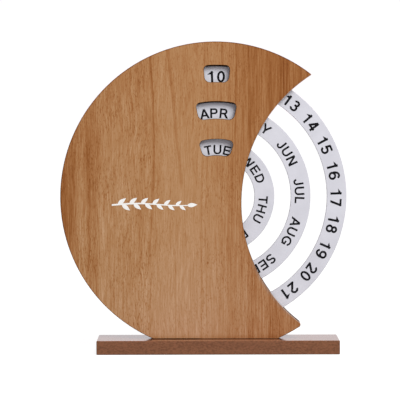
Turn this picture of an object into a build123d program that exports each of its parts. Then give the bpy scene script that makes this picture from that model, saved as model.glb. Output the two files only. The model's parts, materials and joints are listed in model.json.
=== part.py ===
"""Ring-dial perpetual desk calendar.

A round wooden body with a large circular bite stands on a flat base. Three flat rings turn about
one axis between the body's front panel and its backing board: dates outside, months between,
weekdays inside. Each ring shows one entry through its window above the axis, and stands bare in
the bite, where a finger turns it.

Frame: origin at the centre of the base's underside, +X to the right, +Y to the rear, +Z up. The
front faces -Y. Millimetres.
"""
from build123d import *
from math import cos, radians, sin
import os

# Base
base_width = 156.0
base_depth = 40.0
base_thickness = 9.0
base_edge_radius = 0.6

# Body outline, seen from the front
dial_x = -0.8                      # the rings' common axis, right of the base's centre
dial_height = 91.8                 # the same axis above the base's top
disc_radius = 100.0
disc_centre = (-0.5, -0.4)         # from the dial axis
toe_trim = (-0.35, 0.4)            # a copy of the disc shifted by this trims the toe under the bite
bite_radius = 98.0
bite_centre = (114.05, -4.4)       # from the dial axis
lower_tip_radius = 1.7
upper_tip_radius = 0.5
foot_gap = 0.2                     # the thin layers stop short of the base, the board stands on it

# Layers, from rear to front
veneer_thickness = 0.6
board_thickness = 7.4
channel_depth = 4.0                # the layer that the rings turn in
panel_thickness = 3.4
face_edge_chamfer = 0.25

# Rings: inner and outer radius
rings = {
    "weekday_ring": (24.5, 37.3),
    "month_ring": (47.9, 60.6),
    "date_ring": (71.2, 83.8),
}
ring_thickness = 3.2
ring_edge_chamfer = 0.25
running_gap = 0.3                  # radial, between a ring and the guides beside it

# Windows: inner and outer radius, then the middle's angle and the half-angle, in degrees
windows = {
    "weekday": (26.6, 37.0, 90.0, 18.0),
    "month": (50.1, 61.2, 90.0, 12.6),
    "date": (73.6, 84.5, 89.73, 5.83),
}
window_upper_radius = 2.8
window_lower_radius = 3.6

# Dowels that line the layers up
dowel_radius = 2.0
dowel_fit = 0.03                   # radial clearance in every hole
dowel_in_board = 3.2
dowel_in_panel = 2.2
socket_spare = 0.2                 # empty depth past a dowel's end
outer_dowel_circle = 91.6
outer_dowel_angles = (72, 116, 160, 204, 246, 292)
middle_dowel_angles = (85, 180, 275)
hub_dowels = [(-9, 12), (-9, -12)]

# Joint between body and base
tongue_length = 60.0
tongue_depth = 5.0
tongue_fit = 0.1
mortise_spare = 0.2
screw_spacing = 36.0
screw_length = 15.5
screw_radius = 1.7
screw_head_radius = 3.5
screw_tip_length = 3.0
screw_recess = 0.3                 # the head's top below the base's underside
pilot_fit = 0.05
base_hole_radius = 2.0
drive_length = 3.6
drive_width = 0.9
drive_depth = 1.1

# Worked out from the above
body_depth = 2 * veneer_thickness + board_thickness + channel_depth + panel_thickness
board_rear = veneer_thickness
channel_rear = board_rear + board_thickness
panel_rear = channel_rear + channel_depth
face_rear = panel_rear + panel_thickness
ring_rear = channel_rear + (channel_depth - ring_thickness) / 2
dial_z = base_thickness + dial_height
disc_x = dial_x + disc_centre[0]
board_mid_y = body_depth / 2 - board_rear - board_thickness / 2
screw_points = [(disc_x - screw_spacing / 2, board_mid_y), (disc_x + screw_spacing / 2, board_mid_y)]
dowel_hole = dowel_radius + dowel_fit


def layer(rear_distance):
    """The plane this far in front of the body's rear face, centred on the dial axis."""
    y = body_depth / 2 - rear_distance
    return Plane(origin=(dial_x, y, dial_z), x_dir=(1, 0, 0), z_dir=(0, -1, 0))


def on_circle(radius, angles):
    """Points on a circle about the dial axis."""
    return [(radius * cos(radians(a)), radius * sin(radians(a))) for a in angles]


def body_outline(gap):
    """The disc with its flat foot, this far above the base, and its bite."""
    with BuildSketch() as outline:
        with Locations(disc_centre):
            Circle(disc_radius)
            with Locations(toe_trim):
                Circle(disc_radius, mode=Mode.INTERSECT)
        with Locations((0, gap - dial_height)):
            foot_align = (Align.CENTER, Align.MAX)
            Rectangle(2 * disc_radius, disc_radius, align=foot_align, mode=Mode.SUBTRACT)
        with Locations(bite_centre):
            Circle(bite_radius, mode=Mode.SUBTRACT)
        fillet(outline.vertices().sort_by(Axis.X)[-1], upper_tip_radius)
        lower_tip = outline.vertices().sort_by(Axis.X)[-3:].sort_by(Axis.Y)[0]
        fillet(lower_tip, lower_tip_radius)
    return outline.sketch


def window_outline(inner_radius, outer_radius, middle, half_angle):
    """A rounded piece of a ring, above the dial axis."""
    start = middle - half_angle
    with BuildSketch() as opening:
        with BuildLine():
            inner = CenterArc((0, 0), inner_radius, start, 2 * half_angle)
            outer = CenterArc((0, 0), outer_radius, start, 2 * half_angle)
            Line(inner @ 0, outer @ 0)
            Line(inner @ 1, outer @ 1)
        make_face()
        fillet(opening.vertices().sort_by(Axis.Y)[-2:], window_upper_radius)
        fillet(opening.vertices().sort_by(Axis.Y)[:2], window_lower_radius)
    return opening.sketch


def save(piece, name):
    """Label a finished piece and write its file."""
    piece.part.label = name
    export_step(piece.part, f"parts/{name}.step")


os.makedirs("parts", exist_ok=True)

thin_outline = body_outline(foot_gap)
board_outline = body_outline(0)
window_outlines = [window_outline(*size) for size in windows.values()]

# Each guide: the ring outside it, the ring inside it and its dowels
weekday, month, date = rings.values()
guides = {
    "hub_guide": (None, weekday[0] - running_gap, hub_dowels),
    "month_weekday_guide": (
        weekday[1] + running_gap,
        month[0] - running_gap,
        on_circle((weekday[1] + month[0]) / 2, middle_dowel_angles),
    ),
    "date_month_guide": (
        month[1] + running_gap,
        date[0] - running_gap,
        on_circle((month[1] + date[0]) / 2, middle_dowel_angles),
    ),
    "outer_guide": (date[1] + running_gap, None, on_circle(outer_dowel_circle, outer_dowel_angles)),
}
dowel_points = [point for guide in guides.values() for point in guide[2]]

# Base plate: a flat block with a mortise for the body's tongue and two countersunk screw holes
with BuildPart() as base_plate:
    Box(base_width, base_depth, base_thickness, align=(Align.CENTER, Align.CENTER, Align.MIN))
    fillet(base_plate.edges(), base_edge_radius)
    with BuildSketch(Plane.XY.offset(base_thickness)):
        with Locations((disc_x, board_mid_y)):
            Rectangle(tongue_length + 2 * tongue_fit, board_thickness + 2 * tongue_fit)
    extrude(amount=-(tongue_depth + mortise_spare), mode=Mode.SUBTRACT)
    with Locations(*[Plane(origin=(x, y, 0), z_dir=(0, 0, -1)) for x, y in screw_points]):
        CounterSinkHole(base_hole_radius, screw_head_radius + screw_recess, base_thickness)
save(base_plate, "base_plate")

# Wood screw: countersunk head down, shank up, pointed tip, cross recess for the driver
with BuildPart() as screw:
    with BuildSketch(Plane.XZ):
        with BuildLine():
            Polyline(
                (0, 0),
                (screw_head_radius, 0),
                (screw_radius, screw_head_radius - screw_radius),
                (screw_radius, screw_length - screw_tip_length),
                (0, screw_length),
                close=True,
            )
        make_face()
    revolve(axis=Axis.Z)
    with BuildSketch():
        Rectangle(drive_length, drive_width)
        Rectangle(drive_width, drive_length)
    extrude(amount=drive_depth, mode=Mode.SUBTRACT)

with BuildPart() as base_screws:
    with Locations(*[(x, y, screw_recess) for x, y in screw_points]):
        add(screw.part)
save(base_screws, "base_screws")

# Backing board: the thick board that everything is built on, with the tongue under its foot
with BuildPart() as backing_board:
    with BuildSketch(layer(board_rear)):
        add(board_outline)
        with Locations((disc_centre[0], -dial_height)):
            Rectangle(tongue_length, 2 * tongue_depth)
    extrude(amount=board_thickness)
    with BuildSketch(layer(channel_rear)):
        with Locations(*dowel_points):
            Circle(dowel_hole)
    extrude(amount=-(dowel_in_board + socket_spare), mode=Mode.SUBTRACT)
    with BuildSketch(Plane.XY.offset(base_thickness - tongue_depth)):
        with Locations(*screw_points):
            Circle(screw_radius + pilot_fit)
    extrude(amount=screw_length, mode=Mode.SUBTRACT)
save(backing_board, "backing_board")

# Rear veneer: the plain rear face
with BuildPart() as rear_veneer:
    with BuildSketch(layer(0)):
        add(thin_outline)
    extrude(amount=veneer_thickness)
    chamfer(rear_veneer.faces().sort_by(Axis.Y)[-1].edges(), face_edge_chamfer)
save(rear_veneer, "rear_veneer")

# Guides: fixed pieces between the rings, as thick as the channel and cut off flush by the bite
for name, (inner_radius, outer_radius, points) in guides.items():
    with BuildPart() as guide:
        with BuildSketch(layer(channel_rear)):
            add(thin_outline)
            if outer_radius:
                Circle(outer_radius, mode=Mode.INTERSECT)
            if inner_radius:
                Circle(inner_radius, mode=Mode.SUBTRACT)
            with Locations(*points):
                Circle(dowel_hole, mode=Mode.SUBTRACT)
        extrude(amount=channel_depth)
    save(guide, name)

# Dowels: through the guides, into the board behind and the panel in front
with BuildPart() as layer_dowels:
    with BuildSketch(layer(channel_rear - dowel_in_board)):
        with Locations(*dowel_points):
            Circle(dowel_radius)
    extrude(amount=dowel_in_board + channel_depth + dowel_in_panel)
save(layer_dowels, "layer_dowels")

# Front panel: closes the channel, with the three windows and blind sockets for the dowels
with BuildPart() as front_panel:
    with BuildSketch(layer(panel_rear)):
        add(thin_outline)
        add(window_outlines, mode=Mode.SUBTRACT)
    extrude(amount=panel_thickness)
    with BuildSketch(layer(panel_rear)):
        with Locations(*dowel_points):
            Circle(dowel_hole)
    extrude(amount=dowel_in_panel + socket_spare, mode=Mode.SUBTRACT)
save(front_panel, "front_panel")

# Front veneer: the visible face, eased along every front edge
with BuildPart() as front_veneer:
    with BuildSketch(layer(face_rear)):
        add(thin_outline)
        add(window_outlines, mode=Mode.SUBTRACT)
    extrude(amount=veneer_thickness)
    chamfer(front_veneer.faces().sort_by(Axis.Y)[0].edges(), face_edge_chamfer)
save(front_veneer, "front_veneer")

# Rings: flat, eased on all four edges, running clear of the channel's walls and of the guides
for name, (inner_radius, outer_radius) in rings.items():
    with BuildPart() as ring:
        with BuildSketch(layer(ring_rear)):
            Circle(outer_radius)
            Circle(inner_radius, mode=Mode.SUBTRACT)
        extrude(amount=ring_thickness)
        chamfer(ring.edges().filter_by(GeomType.CIRCLE), ring_edge_chamfer)
    save(ring, name)
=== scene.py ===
"""Ring-dial perpetual desk calendar: surfaces, printing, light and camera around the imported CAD.

Metres, in the CAD's frame: +X right, +Y to the rear, +Z up, the base's underside at z = 0. The CAD
nodes keep their shapes and get their materials here. The printing on the rings and the motif on the
front face are thin solids of their own.
"""

import json
from math import cos, hypot, pi, radians, sin, tau

import bmesh
import bpy
from mathutils import Matrix, Vector


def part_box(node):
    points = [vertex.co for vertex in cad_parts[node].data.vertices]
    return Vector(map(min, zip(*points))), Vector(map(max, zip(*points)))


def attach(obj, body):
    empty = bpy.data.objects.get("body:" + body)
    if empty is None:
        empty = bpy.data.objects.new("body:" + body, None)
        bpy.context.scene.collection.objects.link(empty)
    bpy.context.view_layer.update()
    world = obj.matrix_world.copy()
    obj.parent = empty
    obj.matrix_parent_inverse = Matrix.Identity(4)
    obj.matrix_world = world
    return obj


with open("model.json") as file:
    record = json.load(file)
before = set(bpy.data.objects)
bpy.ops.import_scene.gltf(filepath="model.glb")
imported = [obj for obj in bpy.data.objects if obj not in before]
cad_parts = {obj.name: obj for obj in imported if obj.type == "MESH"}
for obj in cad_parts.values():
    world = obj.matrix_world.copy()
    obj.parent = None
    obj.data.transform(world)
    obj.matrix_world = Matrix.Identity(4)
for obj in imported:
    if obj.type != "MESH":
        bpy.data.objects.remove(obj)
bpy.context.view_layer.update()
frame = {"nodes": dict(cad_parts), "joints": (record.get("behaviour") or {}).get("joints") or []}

MM = 0.001
nodes = frame["nodes"]
dial = Vector(frame["joints"][0]["pos_m"])          # a point on the rings' common axis
base_low, base_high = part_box("base_plate")
veneer_low, veneer_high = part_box("front_veneer")
face_y = veneer_low.y                               # the front face


# ---------------------------------------------------------------- shader building

def srgb(red, green, blue):
    """Linear colour from 0-255 display values."""
    def linear(value):
        value /= 255
        return value / 12.92 if value <= 0.04045 else ((value + 0.055) / 1.055) ** 2.4
    return (linear(red), linear(green), linear(blue), 1.0)


class Shader:
    """One material with short calls for the nodes that this object needs."""

    def __init__(self, name, **settings):
        self.material = bpy.data.materials.new(name)
        self.material.use_nodes = True
        self.tree = self.material.node_tree
        self.surface = self.tree.nodes["Principled BSDF"]
        for key, value in settings.items():
            self.surface.inputs[key.replace("_", " ")].default_value = value

    def add(self, kind, inputs=(), out=0, **settings):
        """A node; inputs is {name or index: value or socket}; returns one output socket."""
        node = self.tree.nodes.new("ShaderNode" + kind)
        for key, value in settings.items():
            setattr(node, key, value)
        for key, value in dict(inputs).items():
            self.feed(node.inputs[key], value)
        return node.outputs[out]

    def feed(self, socket, value):
        """Link a socket into an input, or set a plain value on it."""
        if isinstance(value, bpy.types.NodeSocket):
            self.tree.links.new(value, socket)
        else:
            socket.default_value = value

    def math(self, operation, a, b=0.0):
        return self.add("Math", {0: a, 1: b}, operation=operation)

    def total(self, *terms):
        result = terms[0]
        for term in terms[1:]:
            result = self.math("ADD", result, term)
        return result

    def place(self, origin=(0, 0, 0)):
        """Millimetres from a point, fixed to the object."""
        here = self.add("TexCoord", out="Object")
        moved = self.add("VectorMath", {0: here, 1: tuple(origin)}, operation="SUBTRACT")
        return self.add("VectorMath", {0: moved, "Scale": 1 / MM}, operation="SCALE")

    def split(self, vector):
        node = self.tree.nodes.new("ShaderNodeSeparateXYZ")
        self.feed(node.inputs[0], vector)
        return node.outputs

    def join(self, x, y, z):
        return self.add("CombineXYZ", {0: x, 1: y, 2: z})

    def stretch(self, vector, *sizes):
        """The vector with each axis measured in its own feature size, in millimetres."""
        scales = tuple(1 / size for size in sizes)
        return self.add("VectorMath", {0: vector, 1: scales}, operation="MULTIPLY")

    def noise(self, vector, detail=2.0, roughness=0.5):
        values = {"Vector": vector, "Scale": 1.0, "Detail": detail, "Roughness": roughness}
        return self.add("TexNoise", values)

    def swing(self, noise, amount):
        """Noise about its middle, so that it swings either way by about the amount."""
        return self.math("MULTIPLY", self.math("SUBTRACT", noise, 0.5), amount * 4)

    def remap(self, value, low, high, to_low=0.0, to_high=1.0, way="SMOOTHSTEP"):
        """One range onto another, held at both ends, with soft ends unless the way is LINEAR."""
        values = {"Value": value, "From Min": low, "From Max": high, "To Min": to_low,
                  "To Max": to_high}
        return self.add("MapRange", values, interpolation_type=way)

    def between(self, value, low, high, soft):
        """1 between two values, fading to 0 on either side."""
        above = self.remap(value, low - soft, low + soft)
        below = self.remap(value, high - soft, high + soft, 1.0, 0.0)
        return self.math("MINIMUM", above, below)

    def ramp(self, value, stops):
        """The colour at a value, from (value, colour) stops."""
        node = self.tree.nodes.new("ShaderNodeValToRGB")
        self.feed(node.inputs[0], value)
        elements = node.color_ramp.elements
        while len(elements) < len(stops):
            elements.new(0.5)
        for element, (position, colour) in zip(elements, stops):
            element.position = position
            element.color = colour
        return node.outputs[0]

    def mix(self, share, a, b, blend="MIX"):
        return self.add("MixRGB", {0: share, 1: a, 2: b}, blend_type=blend)

    def curve(self, value, low, high, points):
        """A smooth curve through given (value, result) points; both run from low to high."""
        def share(number):
            return (number - low) / (high - low)

        node = self.tree.nodes.new("ShaderNodeFloatCurve")
        path = node.mapping.curves[0].points
        while len(path) < len(points):
            path.new(0.5, 0.5)
        for point, (place, result) in zip(path, sorted(points)):
            point.location = (share(place), share(result))
        node.mapping.update()
        self.feed(node.inputs["Value"], self.remap(value, low, high, way="LINEAR"))
        return self.remap(node.outputs[0], 0.0, 1.0, low, high, way="LINEAR")

    def straight_curve(self, value, points):
        """Straight lines between given (value, result) points."""
        low, high = points[0][0], points[-1][0]
        stops = [((place - low) / (high - low), (grey, grey, grey, 1)) for place, grey in points]
        return self.ramp(self.remap(value, low, high, way="LINEAR"), stops)

    def reach(self, x, z, centre_x, centre_z):
        """Distance from a centre, in the x-z plane."""
        dx = self.math("SUBTRACT", x, centre_x)
        dz = self.math("SUBTRACT", z, centre_z)
        squares = self.total(self.math("MULTIPLY", dx, dx), self.math("MULTIPLY", dz, dz))
        return self.math("SQRT", squares)

    def side_mask(self):
        """0 on faces that look straight to the front or rear, 1 on rims, cuts and easings."""
        normal = self.split(self.add("NewGeometry", out="True Normal"))
        return self.remap(self.math("ABSOLUTE", normal[1]), 0.9, 1.0, 1.0, 0.0)

    def bump(self, height, distance_mm):
        values = {"Height": height, "Distance": distance_mm * MM}
        self.feed(self.surface.inputs["Normal"], self.add("Bump", values))

    def finish(self, colour, roughness):
        self.feed(self.surface.inputs["Base Color"], colour)
        self.feed(self.surface.inputs["Roughness"], roughness)
        return self.material


# ---------------------------------------------------------------- materials

# The face's outline, in millimetres from the dial's axis: a disc with a round bite out of it
DISC_RADIUS = 100.0
disc_x = (veneer_low.x - dial.x) / MM + DISC_RADIUS
disc_z = (veneer_high.z - dial.z) / MM - DISC_RADIUS
BITE_RADIUS = 98.0
BITE_X = 114.05
BITE_Z = -4.4
FOOT_Z = -91.6                      # the straight lower edge
SEAM = (-14.0, -8.0)                # broken figure to the left, straight grain to the right
FIGURE_REACH = 110                  # past the face's lowest and highest point

# A cut edge in the bite gets a painted highlight, palest this far above and below a middle height
HIGHLIGHT_MIDDLE = -8.0
HIGHLIGHT_BEYOND = (42, 60)

PINK_TINT = (1.02, 1.01, 1.12, 1)
# Tint of the painted sheen beside the lower bite
PAINTED_SHEEN_TINT = (0.93, 1.16, 1.75, 1)
BASE_TOP = 9.0
BASE_FRONT = -20.0

# Colour of the wood by its brightness
WOOD = ((0.00, srgb(118, 62, 24)), (0.15, srgb(137, 80, 36)), (0.33, srgb(152, 96, 51)),
        (0.45, srgb(162, 108, 63)), (0.56, srgb(171, 119, 75)), (0.66, srgb(178, 130, 86)),
        (0.78, srgb(187, 142, 101)), (1.00, srgb(206, 166, 130)))

# Across the board, by millimetres right of the dial: broad tone, coarseness of the pores and
# strength of the streaks
BOARD_TONE = ((-100, 0.38), (-93, 0.48), (-86, 0.66), (-77.5, 0.66), (-73.5, 0.76), (-60, 0.72),
              (-50, 0.71), (-34, 0.77), (-18, 0.77), (-5, 0.74), (5, 0.66), (14, 0.60),
              (28, 0.54), (42, 0.48), (60, 0.51))
COARSENESS = ((-100, 0.7), (-66, 1.0), (-46, 1.0), (-39, 0.6), (-14, 0.5), (-8, 0.8), (20, 0.7),
              (60, 0.4))
LIVELINESS = ((-100, 2.0), (-80, 1.5), (-66, 1.2), (-44, 1.2), (-38, 0.6), (-14, 0.6), (-8, 0.8),
              (14, 1.0), (24, 1.7), (60, 1.8))

# Wandering darker lines of the figure: depth, soft width to the left and to the right, lower and
# upper end, and the way down the board as (height, place across) points
FIGURE = (
    (0.21, 1.6, 0.7, -46, 110,
     ((100, -43), (86, -42), (57, -40), (10, -40.7), (-20, -42), (-57, -44), (-100, -43))),
    (0.14, 0.9, 3.0, 6, 110, ((100, -33), (86, -31), (48, -27), (14, -23.8), (-100, -20))),
    (0.13, 2.6, 0.8, -100, 110,
     ((100, -87), (55, -84), (25, -82.3), (-10, -81), (-40, -82), (-60, -85), (-100, -92))),
    (0.07, 0.8, 1.6, -100, 110, ((100, 13), (50, 12.2), (0, 10), (-60, 8.7), (-100, 8))),
)

# Straight darker lines, and one paler: place across, lower and upper end, depth, half-width
STRAIGHT_LINES = (
    (-94.0, -38, 2, 0.13, 1.5), (-91.5, 0, 32, 0.08, 1.3), (-76.0, 28, 58, 0.06, 0.9),
    (-60.0, -75, -8, 0.06, 0.9), (-50.5, 55, 110, 0.08, 1.0), (-49.8, -75, -8, 0.07, 0.9),
    (-26.5, -95, -44, 0.12, 0.9), (-22.8, -80, -40, -0.06, 1.6), (-17.0, -100, -45, 0.06, 0.8),
    (-19.0, 42, 90, 0.05, 0.8), (-14.5, 42, 90, 0.05, 0.8), (-10.0, -100, 0, 0.12, 0.9),
    (12.5, 42, 110, 0.10, 0.8), (20.9, 40, 110, 0.15, 0.9), (26.0, 50, 100, 0.07, 0.8),
    (29.2, 60, 110, 0.12, 0.8), (34.4, 52, 90, 0.10, 0.7), (37.3, 62, 100, 0.11, 0.7),
    (41.4, 60, 90, 0.15, 0.8), (45.3, 62, 90, 0.13, 0.8), (27.0, -100, -55, 0.05, 2.5),
    (34.4, -100, -58, 0.09, 0.8), (-7.6, 80, 110, 0.15, 0.6), (3.8, 75, 110, 0.21, 0.6),
    (3.1, 56, 75, 0.12, 0.5), (13.2, 80, 110, 0.12, 0.7), (-1.9, 60, 76, 0.10, 0.5),
    (-8.3, 36, 50, 0.07, 1.0), (-26.4, -60, -8, 0.05, 0.8), (-9.3, 0, 24, 0.08, 0.8),
    (0.6, 0, 22, 0.14, 0.5), (12.1, -2, 48, 0.14, 0.7), (9.0, -56, -30, 0.08, 0.5),
    (1.8, -46, -28, 0.09, 0.5), (-0.4, -44, -28, 0.08, 0.5), (-42.4, -100, -50, 0.07, 0.9),
)


def bite_distance(s, x, z):
    """Millimetres into the wood from the bite's edge."""
    return s.math("SUBTRACT", s.reach(x, z, BITE_X, BITE_Z), BITE_RADIUS)


def cut_at_bite(s, from_bite, z, elsewhere, darker, paler):
    """Colour of a cut edge: a painted highlight in the bite, paler towards both of its ends."""
    from_middle = s.math("ABSOLUTE", s.math("SUBTRACT", z, HIGHLIGHT_MIDDLE))
    painted_bite_highlight = s.mix(s.remap(from_middle, *HIGHLIGHT_BEYOND), darker, paler)
    return s.mix(s.remap(from_bite, 0.5, 1.5), painted_bite_highlight, elsewhere)


def with_figure(s, tone, x, z, fade, across):
    """The tone with the wandering lines and the straight lines drawn in."""
    for depth, left, right, low, high, way in FIGURE:
        off = s.math("SUBTRACT", across, s.curve(z, -FIGURE_REACH, FIGURE_REACH, way))
        near = s.math("MINIMUM", s.remap(off, -left, 0.0), s.remap(off, 0.0, right, 1.0, 0.0))
        near = s.math("MULTIPLY", near, s.between(z, low, high, 4))
        strength = s.math("MULTIPLY", near, s.remap(fade, 0.25, 0.6, 0.8 * depth, 1.3 * depth))
        tone = s.math("SUBTRACT", tone, strength)
    for place, low, high, depth, half_width in STRAIGHT_LINES:
        off = s.math("ABSOLUTE", s.math("SUBTRACT", x, place))
        line = s.remap(off, 0.0, half_width, depth, 0.0)
        tone = s.math("SUBTRACT", tone, s.math("MULTIPLY", line, s.between(z, low, high, 6)))
    return tone


def veneer_material(name, shift):
    """Warm tan wood: upright grain, dark lines that wander, short dark pores, scorched cuts.

    Left of the middle the figure is broken and wanders; to the right it runs straight. shift
    takes the grain from another place in the log.
    """
    s = Shader(name, Specular_IOR_Level=0.1)
    face = s.place(dial)
    x, _, z = s.split(face)
    here = s.add("VectorMath", {0: face, 1: shift}, operation="ADD")
    sway = s.swing(s.noise(s.stretch(here, 26, 9, 62), detail=1.5), 3.0)
    wander = s.add("VectorMath", {0: here, 1: s.join(sway, 0.0, 0.0)}, operation="ADD")
    straight = s.remap(x, *SEAM)

    def grain(broken, even, detail, roughness=0.55):
        """Noise of one feature size to the left of the middle and another to the right."""
        left = s.noise(s.stretch(wander, *broken), detail=detail, roughness=roughness)
        right = s.noise(s.stretch(here, *even), detail=detail, roughness=roughness)
        return s.add("Mix", {"Factor": straight, "A": left, "B": right})

    def pores(width, length, depth):
        """Short dark dashes along the grain."""
        flecks = s.noise(s.stretch(wander, width, 9, length), detail=1.0)
        return s.remap(flecks, 0.54, 0.72, 0.0, depth)

    bands = grain((5.0, 9, 60), (4.5, 9, 230), 1.0)
    streaks = grain((1.2, 9, 42), (1.2, 9, 130), 2.0)
    fibre = grain((0.6, 9, 10), (0.7, 9, 14), 1.5)
    patches = s.noise(s.stretch(here, 16, 9, 26), detail=2.0)
    fade = s.noise(s.stretch(here, 30, 9, 24), detail=1.0)
    coarse = s.straight_curve(x, COARSENESS)
    lively = s.straight_curve(x, LIVELINESS)

    # Tone: the board's own, then bands, streaks and threads of the grain, pores and figure
    band_strength = s.math("ADD", lively, 0.6)
    thread_strength = s.math("ADD", s.math("MULTIPLY", lively, 0.4), 0.6)
    dark_streaks = s.remap(streaks, 0.50, 0.74, 0.0, -0.15)
    dashes = s.math("MULTIPLY", s.math("ADD", pores(0.7, 4.0, 0.6), pores(0.5, 1.8, 1.2)),
                    s.math("MULTIPLY", coarse, s.remap(patches, 0.35, 0.62, 0.5, 1.0)))
    tone = s.total(
        s.straight_curve(s.math("ADD", x, s.math("MULTIPLY", sway, 0.6)), BOARD_TONE),
        s.math("MULTIPLY", s.swing(bands, 0.045), band_strength),
        s.math("MULTIPLY", s.math("ADD", s.swing(streaks, 0.06), dark_streaks), lively),
        s.math("MULTIPLY", s.swing(fibre, 0.13), thread_strength),
        s.math("MULTIPLY", dashes, -0.24),
        s.math("MULTIPLY", z, -0.0010),
    )
    across = s.math("ADD", x, s.math("MULTIPLY", sway, 0.25))
    tone = with_figure(s, tone, x, z, fade, across)

    # Darker at the rim and the bite, and painted shade above the foot where it meets the base;
    # pinker towards the lower right
    from_disc = s.math("SUBTRACT", DISC_RADIUS, s.reach(x, z, disc_x, disc_z))
    from_bite = bite_distance(s, x, z)
    scorch = s.remap(from_disc, 0.25, 0.9, 0.22, 0.0)
    smoke = s.remap(from_bite, 0.6, 2.0, 0.05, 0.0)
    # Painted shade just above the foot, where the body meets the base
    painted_foot_shade = s.remap(z, FOOT_Z - 0.4, FOOT_Z + 3.6, 0.16, 0.0)
    tone = s.math("SUBTRACT", tone, s.total(scorch, smoke, painted_foot_shade))
    pink = s.remap(s.math("SUBTRACT", x, z), -40, 130)
    colour = s.mix(pink, s.ramp(tone, WOOD), PINK_TINT, "MULTIPLY")

    # Painted sheen: the face greyer beside the lower bite
    low_bite = s.between(z, -76, -43, 5)
    painted_sheen = s.math("MULTIPLY", s.remap(from_bite, 0.2, 2.4, 1.0, 0.0), low_bite)
    colour = s.mix(painted_sheen, colour, PAINTED_SHEEN_TINT, "MULTIPLY")

    # Cut edges: dark, with a painted highlight in the bite, and a pale painted light on the
    # underside of the foot's right half
    cut = cut_at_bite(s, from_bite, z, srgb(52, 30, 18), srgb(92, 62, 42), srgb(190, 166, 154))
    # Painted light: the foot's underside made pale on the right half, lifting the shade where it
    # meets the base
    painted_light_under_foot = s.remap(z, FOOT_Z + 0.6, FOOT_Z + 1.6, 1.0, 0.0)
    cut = s.mix(s.math("MULTIPLY", painted_light_under_foot, straight), cut, srgb(232, 186, 142))
    colour = s.mix(s.math("MULTIPLY", s.side_mask(), 0.85), colour, cut)

    s.bump(s.math("SUBTRACT", s.math("MULTIPLY", fibre, 0.5), dashes), 0.05)
    return s.finish(colour, s.remap(fibre, 0.2, 0.8, 0.62, 0.46))


def board_edge_material(name, painted_bite_highlight):
    """Fibreboard as a laser leaves it: dark brown and streaked. If asked, paler in the bite: a
    painted highlight.
    """
    s = Shader(name, Specular_IOR_Level=0.03)
    here = s.place(dial)
    x, _, z = s.split(here)
    streaks = s.noise(s.stretch(here, 0.7, 9, 0.7), detail=3.0, roughness=0.6)
    fluff = s.noise(s.stretch(here, 0.35, 0.35, 0.35), detail=2.0)
    tone = s.mix(s.remap(streaks, 0.3, 0.7), srgb(52, 33, 26), srgb(88, 58, 46))
    tone = s.mix(s.remap(fluff, 0.55, 0.8, 0.0, 0.5), tone, srgb(120, 86, 70))
    # Painted highlight on the cut edge in the bite
    if painted_bite_highlight:
        from_bite = bite_distance(s, x, z)
        tone = cut_at_bite(s, from_bite, z, tone, srgb(104, 80, 64), srgb(146, 122, 108))
    s.bump(s.math("ADD", streaks, s.math("MULTIPLY", fluff, 0.4)), 0.08)
    return s.finish(tone, s.remap(streaks, 0.3, 0.7, 0.8, 0.95))


def base_material():
    """Dark-brown lacquered board: faint level grain, and a pale stripe along the top's front that
    is a painted highlight.
    """
    s = Shader("base_lacquer", Specular_IOR_Level=0.1)
    here = s.place()
    x, y, z = s.split(here)
    sway = s.noise(s.stretch(here, 60, 20, 8), detail=1.0)
    wood = s.join(x, y, s.math("ADD", z, s.remap(sway, 0.25, 0.75, -1.2, 1.2)))
    bands = s.noise(s.stretch(wood, 70, 3.0, 2.2), detail=2.5, roughness=0.6)
    fibre = s.noise(s.stretch(wood, 14, 0.5, 0.45), detail=3.0, roughness=0.6)
    mottle = s.noise(s.stretch(here, 1.5, 1.2, 0.9), detail=3.0, roughness=0.6)
    tone = s.mix(s.remap(bands, 0.3, 0.7), srgb(127, 83, 58), srgb(135, 89, 62))
    tone = s.mix(s.remap(fibre, 0.45, 0.75, 0.0, 0.4), tone, srgb(105, 67, 45))
    tone = s.mix(s.remap(mottle, 0.45, 0.65, 0.0, 0.5), tone, srgb(151, 97, 70))
    tone = s.mix(s.remap(mottle, 0.5, 0.35, 0.0, 0.5), tone, srgb(105, 65, 47))
    # Painted highlight: a pale stripe along the top's front edge
    on_top = s.remap(z, BASE_TOP - 0.2, BASE_TOP - 0.05, 0.0, 0.9)
    along_front = s.between(y, BASE_FRONT + 0.9, BASE_FRONT + 2.8, 0.5)
    front_edge_highlight = s.math("MULTIPLY", along_front, on_top)
    tone = s.mix(front_edge_highlight, tone, srgb(200, 156, 130))
    s.bump(fibre, 0.015)
    return s.finish(tone, s.remap(mottle, 0.3, 0.7, 0.05, 0.09))


def ring_material():
    """Cool white plastic sheet, satin, with faint rubbing marks round the ring."""
    s = Shader("ring_plastic", Specular_IOR_Level=0.4)
    here = s.place(dial)
    x, _, z = s.split(here)
    radius = s.reach(x, z, 0.0, 0.0)
    rubbing = s.noise(s.join(s.math("MULTIPLY", radius, 1.4), 0.0, 0.0), detail=3.0)
    clouds = s.noise(s.stretch(here, 14, 14, 14), detail=3.0)
    tone = s.mix(s.remap(clouds, 0.3, 0.7), srgb(214, 213, 221), srgb(221, 220, 228))
    tone = s.mix(s.math("MULTIPLY", s.side_mask(), 0.5), tone, srgb(196, 196, 202))
    s.bump(clouds, 0.01)
    return s.finish(tone, s.remap(rubbing, 0.3, 0.7, 0.34, 0.46))


def dowel_material():
    """Pale beech, with grain along the dowel."""
    s = Shader("dowel_beech", Specular_IOR_Level=0.3)
    here = s.place(dial)
    fibre = s.noise(s.stretch(here, 0.5, 8, 0.5), detail=3.0)
    tone = s.mix(s.remap(fibre, 0.3, 0.7), srgb(205, 168, 124), srgb(180, 138, 95))
    s.bump(fibre, 0.03)
    return s.finish(tone, s.remap(fibre, 0.3, 0.7, 0.55, 0.7))


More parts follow.
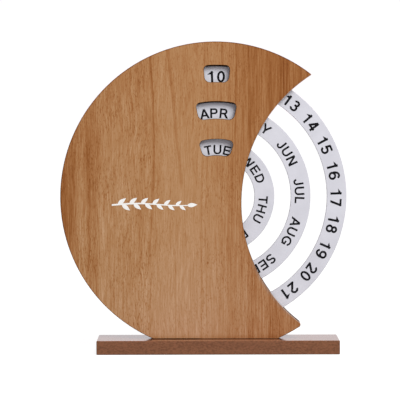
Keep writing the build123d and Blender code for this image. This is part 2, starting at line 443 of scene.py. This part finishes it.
def screw_material():
    """Zinc-plated steel with turning marks and a dull bloom."""
    s = Shader("zinc_steel", Metallic=1.0)
    here = s.place()
    bloom = s.noise(s.stretch(here, 1.6, 1.6, 1.6), detail=3.0)
    marks = s.noise(s.stretch(here, 0.25, 0.25, 1.5), detail=2.0)
    tone = s.mix(s.remap(bloom, 0.35, 0.65), srgb(176, 178, 182), srgb(205, 205, 203))
    s.bump(marks, 0.01)
    return s.finish(tone, s.remap(bloom, 0.3, 0.7, 0.25, 0.45))


def ink_material(name, dark, light):
    """Printed ink: nearly even, with slight pooling and a soft gloss."""
    s = Shader(name, Specular_IOR_Level=0.1)
    pooling = s.noise(s.stretch(s.place(dial), 0.8, 0.8, 0.8), detail=2.0)
    tone = s.mix(s.remap(pooling, 0.3, 0.7), dark, light)
    s.bump(pooling, 0.004)
    return s.finish(tone, s.remap(pooling, 0.3, 0.7, 0.32, 0.5))


def dress(material, *names):
    """Give CAD nodes one material."""
    for name in names:
        slots = nodes[name].data.materials
        slots.clear()
        slots.append(material)


dress(veneer_material("wood_front", (0, 0, 0)), "front_veneer")
dress(veneer_material("wood_rear", (230, 0, 410)), "rear_veneer")
dress(board_edge_material("panel_edge", painted_bite_highlight=True), "front_panel")
dress(board_edge_material("board_edge", painted_bite_highlight=False), "backing_board", "outer_guide",
      "date_month_guide", "month_weekday_guide", "hub_guide")
dress(base_material(), "base_plate")
dress(ring_material(), "date_ring", "month_ring", "weekday_ring")
dress(dowel_material(), "layer_dowels")
dress(screw_material(), "base_screws")
black_ink = ink_material("black_ink", srgb(4, 4, 7), srgb(11, 11, 15))
white_ink = ink_material("white_ink", srgb(250, 248, 244), srgb(255, 254, 252))


# ---------------------------------------------------------------- thin printed solids

PRINT_DEPTH = 0.04                  # millimetres above the surface, and the same below it


def prism(outline, thickness):
    """An object: a closed outline in the u-v plane, extruded up by the thickness."""
    mesh = bmesh.new()
    floor = [mesh.verts.new((u, v, 0)) for u, v in outline]
    roof = [mesh.verts.new((u, v, thickness)) for u, v in outline]
    mesh.faces.new(reversed(floor))
    mesh.faces.new(roof)
    for i, corner in enumerate(floor):
        j = (i + 1) % len(floor)
        mesh.faces.new((corner, floor[j], roof[j], roof[i]))
    bmesh.ops.recalc_face_normals(mesh, faces=mesh.faces)
    data = bpy.data.meshes.new("stroke")
    mesh.to_mesh(data)
    mesh.free()
    piece = bpy.data.objects.new("stroke", data)
    bpy.context.scene.collection.objects.link(piece)
    return piece


def fused(outlines, thickness):
    """One clean mesh from overlapping outlines of the same thickness."""
    parts = [prism(outline, thickness) for outline in outlines]
    for other in parts[1:]:
        union = parts[0].modifiers.new("union", "BOOLEAN")
        union.operation = "UNION"
        union.solver = "EXACT"
        union.object = other
    view = bpy.context.evaluated_depsgraph_get()
    mesh = bpy.data.meshes.new_from_object(parts[0].evaluated_get(view))
    for part in parts:
        data = part.data
        bpy.data.objects.remove(part)
        bpy.data.meshes.remove(data)
    return mesh


def assemble(name, placed, material, body):
    """One object from (mesh, matrix) pairs, riding on a CAD body."""
    whole = bmesh.new()
    for mesh, matrix in placed:
        copy = mesh.copy()
        copy.transform(matrix)
        whole.from_mesh(copy)
        bpy.data.meshes.remove(copy)
    data = bpy.data.meshes.new(name)
    whole.to_mesh(data)
    whole.free()
    data.materials.clear()
    data.materials.append(material)
    piece = bpy.data.objects.new(name, data)
    bpy.context.scene.collection.objects.link(piece)
    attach(piece, body)


# ---------------------------------------------------------------- letter shapes

# Plain sans-serif capitals and figures of even stroke, in thousandths of the em
CAP = 716
PEN = 142                           # width of upright strokes
BAR = 126                           # width of level strokes
FOOT = BAR / 2                      # middle line of a level stroke on the baseline
HEAD = CAP - BAR / 2                # the same under the cap line
ROUND_FOOT = FOOT - 9               # the lowest and highest middle line of a round letter
ROUND_HEAD = HEAD + 9
ARC_STEP = 12                       # degrees between points on a curve


def bar(y, left, right):
    """A level stroke about its middle height."""
    return [(left, y - BAR / 2), (right, y - BAR / 2), (right, y + BAR / 2), (left, y + BAR / 2)]


def stem(x, low=0, high=CAP):
    """An upright stroke about its middle."""
    return [(x - PEN / 2, low), (x + PEN / 2, low), (x + PEN / 2, high), (x - PEN / 2, high)]


def slant(x0, y0, x1, y1):
    """A sloping stroke with level ends."""
    half = PEN / 2 * hypot(x1 - x0, y1 - y0) / abs(y1 - y0)
    return [(x0 - half, y0), (x0 + half, y0), (x1 + half, y1), (x1 - half, y1)]


def arc(x, across, low, high, start, end):
    """A curved stroke along part of an ellipse: its middle, half-width, lowest and highest line."""
    y = (low + high) / 2
    up = (high - low) / 2
    count = max(2, round(abs(end - start) / ARC_STEP))
    angles = [radians(start + (end - start) * i / count) for i in range(count + 1)]
    outer = [(x + (across + PEN / 2) * cos(a), y + (up + BAR / 2) * sin(a)) for a in angles]
    inner = [(x + (across - PEN / 2) * cos(a), y + (up - BAR / 2) * sin(a)) for a in angles]
    return outer + inner[::-1]


def oval(x, across, low, high):
    return [arc(x, across, low, high, -93, 93), arc(x, across, low, high, 87, 273)]


def turned(outlines, x, y):
    """The strokes turned half way round about a point."""
    return [[(2 * x - u, 2 * y - v) for u, v in outline] for outline in outlines]


def s_curve(x, middle, low_across, high_across):
    """Two opposite bows joined by a slope."""
    top = arc(x, high_across, middle, ROUND_HEAD, 22, 246)
    bottom = arc(x, low_across, ROUND_FOOT, middle, 66, -158)
    half = len(top) // 2
    a, b = top[half - 1], top[half]
    c, d = bottom[0], bottom[-1]
    return [top, bottom, [a, d, c, b]]


SIX = [arc(300, 211, ROUND_FOOT, ROUND_HEAD, 40, 190), *oval(285, 188, ROUND_FOOT, 412)]
BOWL = [bar(HEAD, 120, 390), bar(345, 120, 390), arc(390, 152, 345, HEAD, -92, 92)]

# Character: advance width, then its strokes
LETTERS = {
    "A": (667, [slant(58, 0, 333, CAP), slant(609, 0, 333, CAP), bar(235, 150, 517)]),
    "B": (667, [stem(124), bar(HEAD, 124, 370), bar(385, 124, 390), bar(FOOT, 124, 390),
                arc(370, 146, 385, HEAD, -92, 92), arc(390, 170, FOOT, 385, -92, 92)]),
    "C": (722, [arc(385, 284, ROUND_FOOT, ROUND_HEAD, 32, 328)]),
    "D": (722, [stem(124), bar(HEAD, 124, 330), bar(FOOT, 124, 330),
                arc(330, 288, FOOT, HEAD, -92, 92)]),
    "E": (667, [stem(124), bar(HEAD, 124, 600), bar(372, 124, 575), bar(FOOT, 124, 615)]),
    "F": (611, [stem(124), bar(HEAD, 124, 572), bar(356, 124, 515)]),
    "G": (778, [arc(398, 296, ROUND_FOOT, ROUND_HEAD, 34, 318), bar(325, 412, 706),
                stem(655, 78, 350)]),
    "H": (722, [stem(124), stem(598), bar(370, 124, 598)]),
    "I": (278, [stem(139)]),
    "J": (500, [stem(378, 215), arc(213, 165, ROUND_FOOT, 398, -180, 2)]),
    "L": (556, [stem(120), bar(FOOT, 120, 520)]),
    "M": (833, [stem(119), stem(714), slant(417, 0, 119, CAP), slant(417, 0, 714, CAP)]),
    "N": (722, [stem(121), stem(598), slant(598, 0, 121, CAP)]),
    "O": (778, oval(389, 290, ROUND_FOOT, ROUND_HEAD)),
    "P": (667, [stem(124), *BOWL]),
    "R": (722, [stem(124), *BOWL, slant(620, 0, 405, 345)]),
    "S": (667, s_curve(334, 368, 226, 206)),
    "T": (611, [stem(306), bar(HEAD, 22, 590)]),
    "U": (722, [stem(124, 250), stem(598, 250), arc(361, 237, ROUND_FOOT, 470, -182, 2)]),
    "V": (667, [slant(333, 0, 58, CAP), slant(333, 0, 609, CAP)]),
    "W": (944, [slant(262, 0, 70, CAP), slant(262, 0, 472, CAP), slant(682, 0, 472, CAP),
                slant(682, 0, 874, CAP)]),
    "Y": (667, [stem(333, 0, 330), slant(333, 280, 60, CAP), slant(333, 280, 607, CAP)]),
    "0": (556, oval(278, 184, ROUND_FOOT, ROUND_HEAD)),
    "1": (556, [stem(322), slant(138, 500, 322, 640)]),
    "2": (556, [arc(272, 182, 350, ROUND_HEAD, 172, -30), slant(100, FOOT, 415, 440),
                bar(FOOT, 30, 503)]),
    "3": (556, [arc(262, 160, 392, ROUND_HEAD, 158, -92), arc(262, 184, ROUND_FOOT, 392, 92, -162),
                bar(392, 200, 270)]),
    "4": (556, [stem(372), bar(208, 20, 508), slant(76, 208, 350, CAP)]),
    "5": (556, [bar(HEAD, 140, 480), slant(104, 340, 152, 700),
                arc(262, 188, ROUND_FOOT, 420, 142, -162)]),
    "6": (556, SIX),
    "7": (556, [bar(HEAD, 47, 510), slant(222, 0, 450, 680)]),
    "8": (556, [*oval(278, 152, 396, ROUND_HEAD), *oval(278, 184, ROUND_FOOT, 396)]),
    "9": (556, turned(SIX, 278, CAP / 2)),
}


def print_ring(body, name, words, shown, shown_angle, em, tracking, baseline, evenness):
    """Words round a ring, tops outward, read clockwise.

    The word `shown` is centred on `shown_angle`, in degrees from +X. em and baseline radius are
    in millimetres, tracking scales the letters' advance widths, and evenness is the gap between
    words as a share of the even gap that would close the circle.
    """
    unit = em / 1000
    step = unit * tracking
    lengths = [sum(LETTERS[c][0] for c in word) * step for word in words]
    gap = evenness * (tau * baseline - sum(lengths)) / len(words)
    index = words.index(shown)
    centre_of_shown = sum(lengths[:index]) + gap * index + lengths[index] / 2
    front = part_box(body)[0].y
    meshes = {}
    placed = []
    along = -centre_of_shown
    for word, length in zip(words, lengths):
        for c in word:
            width = LETTERS[c][0] * step
            if c not in meshes:
                meshes[c] = fused(LETTERS[c][1], 2 * PRINT_DEPTH / unit)
            angle = radians(shown_angle) - (along + width / 2) / baseline
            outward = Vector((cos(angle), 0, sin(angle)))
            clockwise = Vector((sin(angle), 0, -cos(angle)))
            half_width = LETTERS[c][0] * unit / 2
            start = dial + outward * baseline * MM - clockwise * half_width * MM
            start.y = front + PRINT_DEPTH * MM
            turn = Matrix((clockwise, outward, Vector((0, -1, 0)))).transposed().to_4x4()
            place = Matrix.Translation(start) @ turn @ Matrix.Scale(unit * MM, 4)
            placed.append((meshes[c], place))
            along += width
        along += gap
    assemble(name, placed, black_ink, body)
    for mesh in meshes.values():
        bpy.data.meshes.remove(mesh)


DATES = [str(day) for day in range(1, 32)]
MONTHS = ["JAN", "FEB", "MAR", "APR", "MAY", "JUN", "JUL", "AUG", "SEP", "OCT", "NOV", "DEC"]
WEEKDAYS = ["SUN", "MON", "TUE", "WED", "THU", "FRI", "SAT"]
print_ring("date_ring", "date_print", DATES, "10", 90.0,
           em=10.1, tracking=1.06, baseline=73.5, evenness=1.0)
print_ring("month_ring", "month_print", MONTHS, "APR", 91.3,
           em=8.7, tracking=1.0, baseline=50.5, evenness=0.97)
print_ring("weekday_ring", "weekday_print", WEEKDAYS, "TUE", 88.2,
           em=8.3, tracking=0.98, baseline=27.2, evenness=0.93)


# ---------------------------------------------------------------- motif on the face

# A leafy sprig in place of lettering, printed in white, in millimetres from the dial's axis
SPRIG_CENTRE = (-39.8, -5.0)
SPRIG_LENGTH = 55.0
LEAF_PAIRS = 6
LEAF_LENGTH = 6.6
LEAF_WIDTH = 2.7
LEAF_TURN = 38                      # degrees away from the stem
STEM_STEPS = 24
LEAF_STEPS = 8


def sprig_height(x):
    """The stem's gentle wave, at a distance from its root."""
    return 0.7 * sin(tau * (x / SPRIG_LENGTH - 0.05))


def sprig_stem():
    """A wavy stem that thins towards its tip."""
    steps = [SPRIG_LENGTH * 0.9 * i / STEM_STEPS for i in range(STEM_STEPS + 1)]
    halves = [0.55 - 0.3 * x / SPRIG_LENGTH for x in steps]
    lower = [(x, sprig_height(x) - half) for x, half in zip(steps, halves)]
    upper = [(x, sprig_height(x) + half) for x, half in zip(steps, halves)]
    return lower + upper[::-1]


def leaf(x, turn, size):
    """A pointed leaf growing out of the stem."""
    steps = [i / LEAF_STEPS for i in range(LEAF_STEPS + 1)]
    one_side = [(along, LEAF_WIDTH / 2 * sin(pi * along ** 0.8)) for along in steps]
    other_side = [(along, -half) for along, half in one_side[-2:0:-1]]
    a = radians(turn)
    shape = [(along * LEAF_LENGTH * size, half * size) for along, half in one_side + other_side]
    root = sprig_height(x)
    return [(x + u * cos(a) - v * sin(a), root + u * sin(a) + v * cos(a)) for u, v in shape]


def print_sprig():
    """The stem with an end leaf and pairs of leaves that get smaller, as one solid."""
    outlines = [sprig_stem(), leaf(SPRIG_LENGTH * 0.88, 4, 1.0)]
    for i in range(LEAF_PAIRS):
        x = SPRIG_LENGTH * (0.07 + 0.135 * i)
        size = 1.0 - 0.05 * i
        outlines.append(leaf(x, LEAF_TURN, size))
        outlines.append(leaf(x + 2.6, -LEAF_TURN, size))
    mesh = fused(outlines, 2 * PRINT_DEPTH)
    across, up = SPRIG_CENTRE
    start = dial + Vector((across - SPRIG_LENGTH / 2, 0, up)) * MM
    start.y = face_y + PRINT_DEPTH * MM
    turn = Matrix(((1, 0, 0), (0, 0, -1), (0, 1, 0))).to_4x4()
    place = Matrix.Translation(start) @ turn @ Matrix.Scale(MM, 4)
    assemble("face_sprig", [(mesh, place)], white_ink, "body")
    bpy.data.meshes.remove(mesh)


print_sprig()


# ---------------------------------------------------------------- stage, light and camera

def seen_and_cast(tree, seen, cast):
    """A colour that differs between what is seen or mirrored and what lights other surfaces."""
    rays = tree.nodes.new("ShaderNodeLightPath")
    colour = tree.nodes.new("ShaderNodeMixRGB")
    tree.links.new(rays.outputs["Is Diffuse Ray"], colour.inputs[0])
    colour.inputs[1].default_value = (*seen, 1)
    colour.inputs[2].default_value = (*cast, 1)
    return colour.outputs[0]


FLOOR_RADIUS = 9.0
FLOOR_SIDES = 96
FLOOR_GREY = (0.35, 0.35, 0.35, 1)
FLOOR_GLOW = (0.84, 0.85, 0.85)     # added to the floor where it is seen or mirrored
DARK = (0, 0, 0)
ROOM_SEEN = (1.06, 1.007, 1.04)
ROOM_CAST = (0.34, 0.303, 0.318)
KEY_PLACE = (0.70, -1.30, 1.25)
KEY_SIZE = 1.2
KEY_WATTS = 30.8
KEY_COLOUR = (1.0, 1.035, 1.025)
LENS = 225.9                        # millimetres, on a sensor 36 wide
SENSOR_WIDTH = 36
CAMERA_ROLL = -0.15                 # degrees
CAMERA_REACH = 40                   # past the floor's far edge
CAMERA_PLACE = (-0.0086, -1.600, 0.1657)            # from the dial's x, the base's front and top
CAMERA_AIM = (-0.0106, -0.00214)                    # x and z from the dial, on the front face


def studio_floor():
    """A wide pale floor, lit up to the white of the room, with a faint shadow under the object."""
    bpy.ops.mesh.primitive_circle_add(vertices=FLOOR_SIDES, radius=FLOOR_RADIUS, fill_type="NGON")
    floor = bpy.context.object
    floor.name = "studio_floor"
    s = Shader("studio_floor", Roughness=0.9)
    s.surface.inputs["Base Color"].default_value = FLOOR_GREY
    glow = seen_and_cast(s.tree, FLOOR_GLOW, DARK)
    s.feed(s.surface.inputs["Emission Color"], glow)
    s.surface.inputs["Emission Strength"].default_value = 1.0
    floor.data.materials.append(s.material)


def key_light():
    """A big round soft box, high in front and to the right, aimed at the dial."""
    data = bpy.data.lights.new("key", "AREA")
    data.color = KEY_COLOUR
    data.shape = "DISK"
    data.size = KEY_SIZE
    data.energy = KEY_WATTS
    lamp = bpy.data.objects.new("key", data)
    lamp.location = KEY_PLACE
    lamp.rotation_euler = (dial - Vector(KEY_PLACE)).to_track_quat("-Z", "Y").to_euler()
    bpy.context.scene.collection.objects.link(lamp)


def white_world():
    """White all round, faintly violet; the soft light that it casts is weaker and pinker."""
    world = bpy.data.worlds.new("studio")
    world.use_nodes = True
    background = world.node_tree.nodes["Background"]
    colour = seen_and_cast(world.node_tree, ROOM_SEEN, ROOM_CAST)
    world.node_tree.links.new(colour, background.inputs["Color"])
    bpy.context.scene.world = world


def add_camera():
    """A long lens far in front, a little under the object's top, pitched slightly down."""
    data = bpy.data.cameras.new("camera")
    data.lens = LENS
    data.sensor_width = SENSOR_WIDTH
    data.clip_end = CAMERA_REACH
    camera = bpy.data.objects.new("camera", data)
    camera.location = Vector((dial.x, base_low.y, base_high.z)) + Vector(CAMERA_PLACE)
    aim = Vector((dial.x + CAMERA_AIM[0], face_y, dial.z + CAMERA_AIM[1]))
    look = (aim - camera.location).to_track_quat("-Z", "Y")
    roll = Matrix.Rotation(radians(CAMERA_ROLL), 4, "Z")
    camera.rotation_euler = (look.to_matrix().to_4x4() @ roll).to_euler()
    bpy.context.scene.collection.objects.link(camera)
    bpy.context.scene.camera = camera


studio_floor()
white_world()
key_light()
add_camera()
bpy.context.scene.view_settings.view_transform = "Standard"
